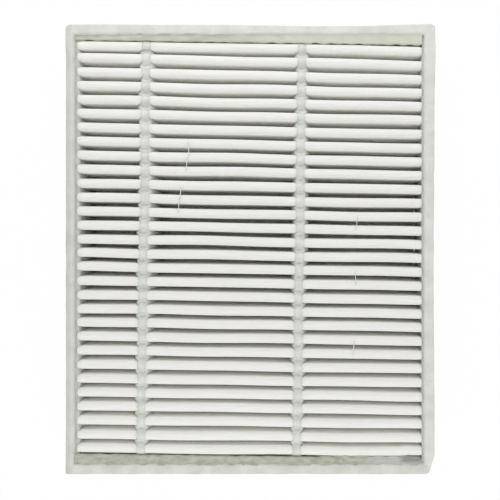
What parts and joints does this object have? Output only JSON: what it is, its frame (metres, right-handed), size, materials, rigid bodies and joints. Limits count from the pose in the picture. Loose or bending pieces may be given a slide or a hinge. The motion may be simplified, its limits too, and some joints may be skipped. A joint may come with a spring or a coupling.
{
  "type": "pleated filter panel",
  "caption": "Flat rectangular air filter panel: a pleated sheet held apart by glue beads and sealed into a soft felt edge.",
  "frame": {"origin": "centre of the panel's outline on the plane of its rear rim", "axes": "+X along the pleats, +Y across them towards the rounded upper end, +Z out of the front face"},
  "size_m": [0.115, 0.14, 0.015],
  "materials": {
    "filter_media": "thick white nonwoven, matt, with faint fibres",
    "bead_glue": "clear hot melt over white media, cloudy and slightly waxy",
    "seal_glue": "yellowish hot melt, uneven and waxy",
    "felt": "dense off-white needle felt, matt and slightly fuzzy"
  },
  "bodies": {
    "root": {"pleated_media": "filter_media", "left_front_bead": "bead_glue", "right_front_bead": "bead_glue", "left_rear_bead": "bead_glue", "right_rear_bead": "bead_glue", "left_edge_seal": "seal_glue", "right_edge_seal": "seal_glue", "upper_edge_seal": "seal_glue", "lower_edge_seal": "seal_glue", "wrapped_edge_strip": "felt", "lower_edge_strip": "felt"}
  },
  "joints": []
}
